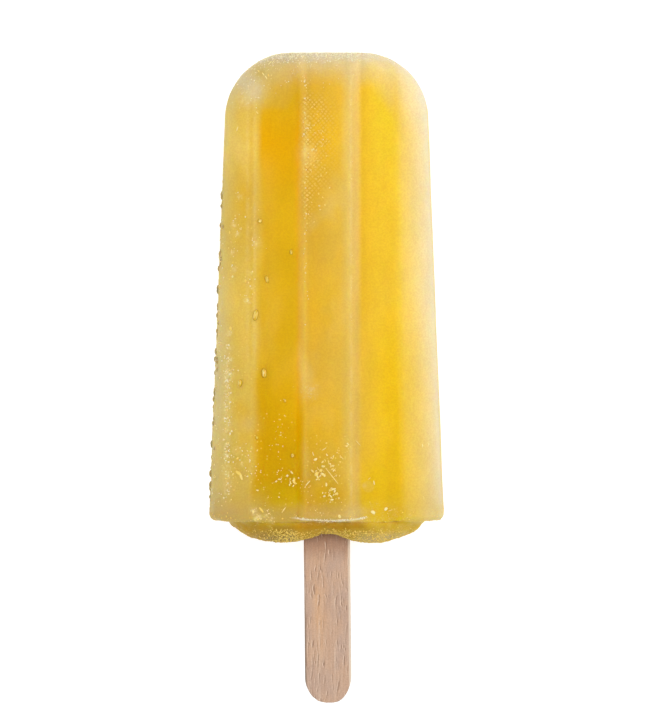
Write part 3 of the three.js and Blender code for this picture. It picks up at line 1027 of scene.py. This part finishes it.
def birchMaterial():
    material, tree, shader = newMaterial("birchWood")
    place = addNode(tree, "TexCoord").outputs["Object"]
    across, rise = attribute(tree, "across"), attribute(tree, "rise")
    streaks = ramp(tree, noise(tree, stretched(tree, place, (1.0, 0.05, 1.0)), 2600.0, 3.0, 0.6), 0.3, 0.7)
    mottle = noise(tree, stretched(tree, place, (1.0, 0.5, 1.0)), 260.0, 3.0, 0.6)
    grit = ramp(tree, noise(tree, place, 3600.0, 2.0, 0.6), 0.3, 0.7, 0.92, 1.08)
    # a painted highlight beside each stroke: the strokes shifted sideways, less the strokes themselves
    besides = addNode(tree, "Mapping", {"Vector": place, "Location": (0.00022, 0.0, 0.0)}).outputs[0]
    stroke = useGroup(tree, fibres, {"Vector": place})["Stroke"]
    lit = calc(tree, "SUBTRACT", useGroup(tree, fibres, {"Vector": besides})["Stroke"], stroke, clamp=True)
    warm = times(tree, line(tree, across, -2.2, 3.2, 0.8), ramp(tree, rise, -37.0, -20.0, 0.3, 1.0))
    colour = blend(tree, ramp(tree, mottle, 0.4, 0.65, 0.0, 0.8), stickLook["plain"], stickLook["grey"])
    patches = noise(tree, stretched(tree, place, (1.0, 0.4, 1.0)), 170.0)
    tints = ramp(tree, patches, 0.35, 0.6, 0.3, 1.0)
    colour = blend(tree, times(tree, warm, tints), colour, stickLook["warm"])
    colour = blend(tree, times(tree, streaks, 0.22), colour, stickLook["pale"])
    # two long pale streaks towards the end: place across, and where each begins
    for centre, start in ((-1.9, -18.0), (1.5, -24.0)):
        faint = times(tree, ramp(tree, rise, start, start - 5.0), ramp(tree, streaks, 0.0, 1.0, 0.4, 1.0))
        faint = times(tree, line(tree, across, centre, 0.35, 0.5), faint)
        colour = blend(tree, faint, colour, stickLook["pale"])
    # darker towards the ice, and painted shade where the stick goes into the ice
    colour = blend(tree, ramp(tree, rise, -9.8, -4.2, 0.0, 0.8), colour, stickLook["darkerNearIce"])
    colour = blend(tree, ramp(tree, rise, -4.8, -2.8, 0.0, 0.7), colour, stickLook["shaded"])
    colour = blend(tree, times(tree, stroke, 0.68), colour, stickLook["dark"])
    colour = blend(tree, times(tree, lit, 0.9), colour, stickLook["pale"])
    tone = addNode(tree, "CombineColor", {0: grit, 1: grit, 2: grit}).outputs[0]
    colour = blend(tree, 1.0, colour, tone, "MULTIPLY")
    # painted shade down the left edge and a painted highlight down the right edge
    leftEdgeShade = times(tree, ramp(tree, across, -4.4, -4.9), ramp(tree, rise, -12.0, -27.0, 0.2, 0.9))
    colour = blend(tree, leftEdgeShade, colour, stickLook["leftEdgeShade"])
    colour = blend(tree, ramp(tree, across, 4.35, 4.75, 0.0, 0.85), colour, stickLook["rightEdgeHighlight"])
    height = calc(tree, "ADD", times(tree, streaks, 0.4), times(tree, stroke, -1.0))
    bump = addNode(tree, "Bump", {"Height": height, "Distance": 0.00015, "Strength": 0.6})
    plug(tree, shader, {
        "Base Color": colour,
        "Normal": bump.outputs[0],
        "Roughness": ramp(tree, rise, -10.0, -4.0, 0.62, 0.42),
        "Specular IOR Level": 0.35,
    })
    return material


def makeStick():
    points = stickSurface()
    values = {"across": points[..., 0], "rise": points[..., 1]}
    points = grainRelief(points, gridNormals(points))
    ends = np.array([points[0].mean(0), points[-1].mean(0)])
    whole, faces, flat = closedGrid(points, ends, values)
    lean = stick["lean"]
    x, y, z = whole.T
    leaning = np.stack([x * cos(lean) - y * sin(lean), x * sin(lean) + y * cos(lean), z], -1)
    piece = newPiece("stickBlade", insideBox(toFrame(leaning)), faces, birchMaterial(), flat)
    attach(piece, "root")
    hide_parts("stick")
    print("stick:", len(whole), "vertices")


makeStick()


# ---- grains, chips and drops ----
def icosahedron():
    # the twelve corners at the golden ratio, and the twenty faces between neighbours
    g = (1 + 5**0.5) / 2
    corners = np.array([
        (-1, g, 0), (1, g, 0), (-1, -g, 0), (1, -g, 0), (0, -1, g), (0, 1, g),
        (0, -1, -g), (0, 1, -g), (g, 0, -1), (g, 0, 1), (-g, 0, -1), (-g, 0, 1),
    ], float)
    faces = np.array([
        (0, 11, 5), (0, 5, 1), (0, 1, 7), (0, 7, 10), (0, 10, 11), (1, 5, 9), (5, 11, 4), (11, 10, 2),
        (10, 7, 6), (7, 1, 8), (3, 9, 4), (3, 4, 2), (3, 2, 6), (3, 6, 8), (3, 8, 9), (4, 9, 5),
        (2, 4, 11), (6, 2, 10), (8, 6, 7), (9, 8, 1),
    ])
    return corners / np.linalg.norm(corners[0]), [faces]


def ball(rows, columns):
    # rings of a sphere between its poles: the cosine and sine of the height's angle, then of the turn
    rise = (np.arange(1, rows + 1) / (rows + 1) * pi)[:, None]
    turn = np.arange(columns) / columns * 2 * pi
    ring = np.stack([np.sin(rise) * np.cos(turn), np.sin(rise) * np.sin(turn), -np.cos(rise) + 0 * turn], -1)
    points = np.concatenate([ring.reshape(-1, 3), [[0, 0, -1], [0, 0, 1]]])
    return points, [ringFaces(rows, columns), poleFaces(rows, columns)]


def manyOf(shape, centres, normals, sizes, heading, roughness, rng):
    # copies of a shape, each stretched to its three sizes, set up on its normal and headed along the surface
    corners, faceSets = shape
    count = len(centres)
    ahead = np.stack([-np.sin(heading), np.cos(heading), 0 * heading], -1)
    ahead = ahead - normals * (ahead * normals).sum(-1, keepdims=True)
    ahead = ahead / np.linalg.norm(ahead, axis=-1, keepdims=True)
    side = np.cross(ahead, normals)
    bent = corners[None] * (1 + roughness * rng.uniform(-1, 1, (count, len(corners), 1)))
    bent = bent * sizes[:, None, :]
    points = centres[:, None] + bent[..., :1] * side[:, None] + bent[..., 1:2] * ahead[:, None]
    points = points + bent[..., 2:] * normals[:, None]
    step = np.arange(count)[:, None, None] * len(corners)
    return points.reshape(-1, 3), [(faces[None] + step).reshape(-1, faces.shape[1]) for faces in faceSets]


def cellAreas():
    # the size of the grid's cell at each vertex, by the cross product of its two sides
    along = np.gradient(barPoints, axis=0)
    across = (np.roll(barPoints, -1, 1) - np.roll(barPoints, 1, 1)) / 2
    return np.linalg.norm(np.cross(across, along), axis=-1)


barAreas = cellAreas()


def spread(weight, count, rng):
    # picks cells of the bar by weight and area, and a random spot within each
    chance = (weight * barAreas)[:-1]
    picked = rng.choice(chance.size, count, p=chance.ravel() / chance.sum())
    row, column = np.unravel_index(picked, chance.shape)
    along, across = rng.random((2, count, 1))
    after = (column + 1) % barPoints.shape[1]
    here = barPoints[row, column] * (1 - along) + barPoints[row + 1, column] * along
    beside = barPoints[row, after] * (1 - along) + barPoints[row + 1, after] * along
    return here * (1 - across) + beside * across, barNormals[row, column]


frontPart = (barNormals[..., 2] > 0.12) & (barPoints[..., 1] > 0.2)
frontPoints, frontNormals = barPoints[frontPart], barNormals[frontPart]


def onFront(x, y):
    # the vertex of the front nearest to each x and y
    nearest = [np.argmin((frontPoints[:, 0] - a) ** 2 + (frontPoints[:, 1] - b) ** 2) for a, b in zip(x, y)]
    found = frontPoints[nearest]
    return np.stack([x, y, found[:, 2]], -1), frontNormals[nearest]


def addPiece(name, groups, material, values=None, flat=False):
    # joins groups of shapes into one piece
    points, faceSets, start = [], [], 0
    for groupPoints, groupFaces in groups:
        faceSets += [faces + start for faces in groupFaces]
        points.append(groupPoints)
        start += len(groupPoints)
    points = insideBox(toFrame(np.concatenate(points)))
    piece = newPiece(name, points, faceSets, material, values, flat)
    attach(piece, "root")
    print(name + ":", len(piece.data.polygons), "faces")


crystalLook = {
    "deep": rgb(206, 174, 88),
    "dull": rgb(255, 224, 108),
    "white": rgb(255, 247, 214),
    "chip": rgb(250, 218, 108),
    "chipPale": rgb(255, 242, 176),
}


def crystalMaterial(name, colour, pale, roughness):
    # each crystal lies between the two colours by the number that its vertices carry, and is deeper below 0
    material, tree, shader = newMaterial(name)
    place = addNode(tree, "TexCoord").outputs["Object"]
    tone = ramp(tree, noise(tree, place, 1800.0), 0.3, 0.7, -0.15, 0.15)
    share = calc(tree, "ADD", attribute(tree, "pale"), tone)
    colour = blend(tree, ramp(tree, share, -0.9, 0.0), crystalLook["deep"], colour)
    share = ramp(tree, share, 0.0, 1.0)
    bump = addNode(tree, "Bump", {"Height": noise(tree, place, 5000.0), "Distance": 0.00005, "Strength": 0.4})
    plug(tree, shader, {
        "Base Color": blend(tree, share, colour, pale),
        "Normal": bump.outputs[0],
        "Roughness": roughness,
        "Specular IOR Level": 0.15,
        "IOR": 1.31,
    })
    return material


def makeGrains():
    # frost grains: thick under the rim and along it, thinner on the sides, the tip and the rib's edge
    rng = np.random.default_rng(7)
    x, y, z = np.moveaxis(barPoints, -1, 0)
    front = smooth(barNormals[..., 2], -0.1, 0.2)
    clear = smooth(np.hypot(x / 6.2, z / 2.4), 0.95, 1.2)
    below = (1 - smooth(y, -2.4, -1.2)) * clear
    heaps = spots(x, y, [(-8.5, -3.4, 3.8, 1.0), (2.5, -2.6, 4.0, 0.7), (10.5, -3.2, 3.4, 0.6)])
    tufts = spots(x, y, [(a, b, radius * 1.2, 1) for a, b, radius, strength in frontSpots["tufts"]])
    fromMiddle = x - recessMiddle
    rimLine = bell(y - 0.01 * fromMiddle**2, 0.31, 0.12) * (1 - smooth(np.abs(fromMiddle), 6.6, 8.4))
    # weight, number, smallest and largest radius, and paleness
    regions = [
        (below * (0.3 + 0.2 * softNoise(barPoints, 2.0, 51)), 1300, 0.06, 0.16, -0.35),
        (below * heaps * front, 2000, 0.06, 0.18, -0.1),
        (between(y, -0.6, 0.1, 0.6, 2.6), 240, 0.07, 0.16, 0.0),
        (smooth(-x, 21.5, 23.5) * between(y, 1, 4, 60, 90), 240, 0.08, 0.2, 0.6),
        (smooth(y, 97.8, 100.3) * (0.4 + 0.6 * front) * (1 - 0.6 * smooth(x, 2, 12)), 1300, 0.08, 0.17, 0.95),
        (smooth(y, 90, 99) * front * (1 - smooth(x, -4, 8)), 160, 0.06, 0.12, 0.6),
        (spots(x, y, [(-16.8, 93, 3.4, 1)]), 90, 0.07, 0.14, 0.8),
        (bell(x, -4.6, 0.35) * between(y, 36, 66, 93, 98), 200, 0.09, 0.21, 0.4),
        (bell(x, -2.6, 1.9) * between(y, 60, 74, 87, 92), 130, 0.1, 0.23, 0.2),
        (bell(x, 5.2, 0.35) * between(y, 4, 60, 90, 97), 90, 0.06, 0.12, 0.35),
        (between(-x, 13.8, 15, 20, 22) * between(y, 30, 50, 66, 74), 60, 0.08, 0.18, 0.45),
        (tufts * front, 110, 0.08, 0.2, 0.55),
        (bell(x, -21.4, 0.8) * between(y, 2, 8, 32, 42) * front, 150, 0.1, 0.26, 0.6),
        (rimLine * front, 160, 0.06, 0.15, 0.9),
    ]
    groups, pale = [], []
    for weight, count, small, large, paleness in regions:
        spot, normal = spread(weight, count, rng)
        radius = small + (large - small) * rng.random((count, 1)) ** 2
        radius = radius * rng.uniform([0.8, 0.9, 0.6], [1.1, 1.4, 0.9], (count, 3))
        heading = rng.uniform(0, 2 * pi, count)
        spot = spot + normal * radius[:, 2:] * 0.1
        groups.append(manyOf(icosahedron(), spot, normal, radius, heading, 0.15, rng))
        pale.append(np.repeat(paleness + rng.uniform(-0.3, 0.3, count), 12))
    rime = crystalMaterial("rime", crystalLook["dull"], crystalLook["white"], 0.4)
    values = {"pale": np.clip(np.concatenate(pale), -1, 1)}
    addPiece("frostGrains", groups, rime, values=values)


def makeChips():
    # bright crystals near the rim: clusters of granules, needles and flakes lying on the front
    rng = np.random.default_rng(19)
    # centre x and y, spread across and along, number, smallest and largest size
    clusters = [
        (-7.4, 9.0, 1.4, 0.7, 16, 0.14, 0.42),
        (-10.2, 9.6, 1.0, 0.8, 12, 0.12, 0.26),
        (-1.6, 10.6, 0.9, 0.9, 16, 0.16, 0.5),
        (0.6, 6.2, 1.6, 0.9, 24, 0.12, 0.34),
        (1.0, 13.4, 2.6, 1.8, 36, 0.1, 0.26),
        (-4.6, 6.6, 1.6, 1.2, 10, 0.08, 0.18),
        (-9.5, 16.5, 3.0, 4.5, 26, 0.08, 0.18),
        (-12.5, 5.0, 2.6, 2.0, 12, 0.08, 0.2),
        (0.0, 3.2, 5.0, 1.2, 14, 0.08, 0.18),
        (-19.0, 12.0, 2.4, 3.0, 12, 0.1, 0.26),
        (4.6, 15.5, 0.8, 1.6, 12, 0.08, 0.22),
    ]
    groups = []
    for x, y, wide, high, count, small, large in clusters:
        spotX, spotY = rng.normal(x, wide / 2, count), np.maximum(rng.normal(y, high, count), 0.9)
        spot, normal = onFront(spotX, spotY)
        size = small + (large - small) * rng.random((count, 1)) ** 2
        size = size * rng.uniform([0.6, 0.8, 0.5], [0.9, 1.7, 0.8], (count, 3))
        heading = rng.normal(-0.6, 0.9, count)
        groups.append(manyOf(icosahedron(), spot, normal, size, heading, 0.28, rng))
    # single needles and flakes: x, y, half length, half width, heading in degrees anticlockwise from the tip
    single = np.array([
        (1.1, 9.9, 2.6, 0.12, 38), (0.4, 12.8, 0.7, 0.1, 15), (-4.0, 8.4, 0.75, 0.13, -40),
        (-18.9, 10.5, 0.8, 0.42, 58), (-18.3, 9.7, 0.8, 0.34, 20), (-15.7, 2.2, 0.4, 0.28, 0),
        (-14.0, 2.6, 0.85, 0.26, 38), (-9.2, 2.6, 0.8, 0.14, -35), (2.7, 1.3, 0.45, 0.32, 10),
        (9.9, 2.1, 0.5, 0.4, 60), (12.6, 2.8, 0.5, 0.34, -50), (13.6, 2.5, 0.6, 0.12, -70),
        (10.1, 8.4, 0.5, 0.16, 10), (9.1, 9.3, 0.35, 0.12, -50), (-7.5, 10.6, 0.45, 0.2, 40),
        (-13.0, 98.1, 0.6, 0.1, -18), (-12.2, 98.4, 0.7, 0.1, -15), (-11.5, 98.6, 0.6, 0.09, -12),
        (-14.6, 96.6, 0.4, 0.12, 30), (-13.6, 95.9, 0.5, 0.13, 35), (-13.0, 95.2, 0.5, 0.13, 30),
        (-12.5, 95.6, 0.35, 0.12, 20), (-14.9, 87.6, 0.35, 0.12, 40), (-19.2, 84.2, 0.6, 0.09, -30),
        (20.7, 5.2, 0.7, 0.11, 0), (20.5, 16.3, 0.5, 0.13, 5), (21.8, 16.5, 0.45, 0.13, -10),
        (6.6, 17.0, 1.2, 0.06, 40), (-0.6, 15.6, 0.6, 0.08, -60), (3.2, 13.8, 0.55, 0.1, 45),
        (-2.9, 14.6, 0.5, 0.1, 20), (-20.8, 62.0, 0.5, 0.25, 10), (-20.2, 52.5, 0.35, 0.25, 0),
        (-17.4, 51.5, 0.4, 0.3, 0), (-17.0, 47.4, 0.35, 0.35, 0), (-20.6, 41.4, 0.5, 0.4, 30),
    ])
    spot, normal = onFront(single[:, 0], single[:, 1])
    size = np.stack([single[:, 3], single[:, 2], np.minimum(single[:, 3], 0.2)], -1)
    groups.append(manyOf(icosahedron(), spot, normal, size, np.radians(single[:, 4]), 0.14, rng))
    clearIce = crystalMaterial("clearIce", crystalLook["chip"], crystalLook["chipPale"], 0.3)
    pale = np.repeat(rng.random(sum(len(points) for points, faces in groups) // 12), 12)
    addPiece("iceChips", groups, clearIce, values={"pale": pale}, flat=True)


dropLook = {
    # the core is the drop's own colour; ring and edge are painted shade, glint a painted highlight
    "core": rgb(226, 182, 46),
    "ring": rgb(186, 146, 36),
    "edge": rgb(184, 158, 92),
    "glint": rgb(252, 236, 150),
}


def dropMaterial():
    # a drop is painted darkest round its foot as shade, and with highlights in streaks; those at the edge are
    # painted greyer, as shade
    material, tree, shader = newMaterial("meltwater")
    foot = times(tree, ramp(tree, attribute(tree, "lift"), 0.1, 0.6, 0.8, 0.0), attribute(tree, "clear"))
    colour = blend(tree, foot, dropLook["core"], dropLook["ring"])
    colour = blend(tree, attribute(tree, "edge"), colour, dropLook["edge"])
    colour = blend(tree, attribute(tree, "glint"), colour, dropLook["glint"])
    plug(tree, shader, {
        "Base Color": colour,
        "Roughness": 0.06,
        "IOR": 1.33,
        "Coat Weight": 0.6,
        "Coat Roughness": 0.03,
        "Subsurface Weight": 0.6,
        "Subsurface Radius": (1.0, 0.7, 0.2),
        "Subsurface Scale": 0.001,
    })
    return material


def makeDrops():
    # meltwater: drops on the front, and beads down the left side
    rng = np.random.default_rng(31)
    # x, y, half width, half length, height, and how clearly it shows
    front = np.array([
        (-12.8, 51.9, 0.42, 0.85, 0.45, 0.8), (-15.2, 44.2, 0.62, 1.25, 0.6, 1.0),
        (-13.4, 31.8, 0.6, 1.1, 0.6, 1.0), (-18.5, 29.7, 0.5, 0.8, 0.5, 0.9),
        (-7.6, 57.7, 0.34, 0.6, 0.3, 0.6), (-14.3, 64.4, 0.5, 0.6, 0.28, 0.5),
        (-8.9, 25.9, 0.3, 0.4, 0.3, 0.6), (-14.9, 18.0, 0.3, 0.42, 0.3, 0.8),
        (-7.3, 14.2, 0.4, 0.5, 0.35, 0.6),
    ])
    spot, normal = onFront(front[:, 0], front[:, 1])
    heading = np.radians(rng.uniform(-12, 12, len(front)))
    drop, bead = ball(9, 16), ball(7, 12)
    groups = [manyOf(drop, spot, normal, front[:, 2:5], heading, 0.0, rng)]
    y, z = barPoints[..., 1], barPoints[..., 2]
    outermost = smooth(-barNormals[..., 0], 0.9, 0.97)
    weight = outermost * between(y, 1.5, 4, 50, 80) * (1 - smooth(np.abs(z), 3, 6))
    count = 70
    spot, normal = spread(weight, count, rng)
    radius = rng.uniform(0.2, 0.55, (count, 1)) * [1, 1.5, 0.8]
    groups.append(manyOf(bead, spot, normal, radius, rng.uniform(-0.3, 0.3, count), 0.0, rng))
    shapes = [(drop[0], len(front)), (bead[0], count)]
    unit = np.concatenate([np.tile(points, (number, 1)) for points, number in shapes])
    # painted highlights: two bright streaks, one to each side of the drop's crest
    streaks = np.maximum(1 - np.abs(unit[:, 0] + 0.42) / 0.3, 0.8 - np.abs(unit[:, 0] - 0.45) / 0.3)
    vertexCounts = np.concatenate([np.full(number, len(points)) for points, number in shapes])
    clear = np.repeat(np.append(front[:, 5], np.full(count, 0.9)), vertexCounts)
    edge = np.repeat(np.append(np.zeros(len(front)), np.ones(count)), vertexCounts)
    glint = np.clip(streaks, 0, 1) * (1 - smooth(np.abs(unit[:, 1]), 0.45, 0.75))
    values = {
        "lift": np.clip(unit[:, 2], 0, 1),
        "glint": glint * clear * (1 - 0.6 * edge),
        "clear": clear,
        "edge": edge,
    }
    addPiece("waterDrops", groups, dropMaterial(), values=values)


makeGrains()
makeChips()
makeDrops()

# ---- stage ----
stage = {
    "cameraDistance": 0.8,
    "pixel": 0.2165,  # millimetres at the bar's middle plane
    "imageWidth": 647,
    "imageHeight": 715,
    "centreX": 326.7,
    "centreY": 377.8,
    "floor": rgb(192, 192, 192),
    "floorGlow": 0.75,
    "floorReach": 3.0,  # metres from its middle to its sides
    "floorGap": 0.00002,
    "sky": 0.38,
}
lamps = {
    "keyFromRight": {"place": (0.4, 0.16, 0.5), "aim": (0, 0, 0.01), "size": 0.4, "power": 0.9},
    "topFill": {"place": (-0.02, 0.1, 0.9), "aim": (0, 0, 0), "size": 0.6, "power": 4.2},
}


def makeFloor():
    # a wide plain sheet just under the lolly
    corners = np.array([[-1, -1, 0], [1, -1, 0], [1, 1, 0], [-1, 1, 0]]) * stage["floorReach"]
    corners[:, 2] = -stage["floorGap"]
    material, tree, shader = newMaterial("paleFloor")
    plug(tree, shader, {
        "Base Color": stage["floor"],
        "Roughness": 0.7,
        "Emission Color": (1.0, 1.0, 1.0, 1.0),
        "Emission Strength": stage["floorGlow"],
    })
    newPiece("floor", corners, [np.array([[0, 1, 2, 3]])], material)


def softbox(name, place, aim, size, power):
    light = bpy.data.lights.new(name, "AREA")
    light.shape = "DISK"
    light.size = size
    light.energy = power
    lamp = bpy.data.objects.new(name, light)
    lamp.location = place
    lamp.rotation_mode = "QUATERNION"
    lamp.rotation_quaternion = (Vector(aim) - Vector(place)).to_track_quat("-Z", "Y")
    bpy.context.scene.collection.objects.link(lamp)


def makeLights():
    world = bpy.data.worlds.new("studio")
    world.use_nodes = True
    sky = world.node_tree.nodes["Background"]
    sky.inputs[0].default_value = (1, 1, 1, 1)
    sky.inputs[1].default_value = stage["sky"]
    bpy.context.scene.world = world
    for name, settings in lamps.items():
        softbox(name, **settings)


def makeCamera():
    # looks straight down on the bar's middle plane, from far enough for a small perspective
    tilt = bar["thicknessDraft"]
    normal = Vector((0, sin(tilt), cos(tilt)))
    up = Vector((0, cos(tilt), -sin(tilt)))
    length = stick["showing"] + bar["length"]
    middle = Vector(toFrame([0, length / 2 - stick["showing"], 0]))
    right = (stage["imageWidth"] / 2 - stage["centreX"]) * stage["pixel"] * mm
    above = (stage["centreY"] - stage["imageHeight"] / 2) * stage["pixel"] * mm
    camera = bpy.data.cameras.new("camera")
    camera.sensor_width = 36
    pictureHeight = stage["imageHeight"] * stage["pixel"] * mm
    camera.lens = camera.sensor_width * stage["cameraDistance"] / pictureHeight
    camera.clip_start = 0.01
    camera.clip_end = 20
    view = bpy.data.objects.new("camera", camera)
    view.location = middle + Vector((right, 0, 0)) + up * above + normal * stage["cameraDistance"]
    view.rotation_euler = (-tilt, 0, 0)
    bpy.context.scene.collection.objects.link(view)
    bpy.context.scene.camera = view


makeFloor()
makeLights()
makeCamera()
bpy.context.scene.view_settings.view_transform = "Standard"
print("stage ready")
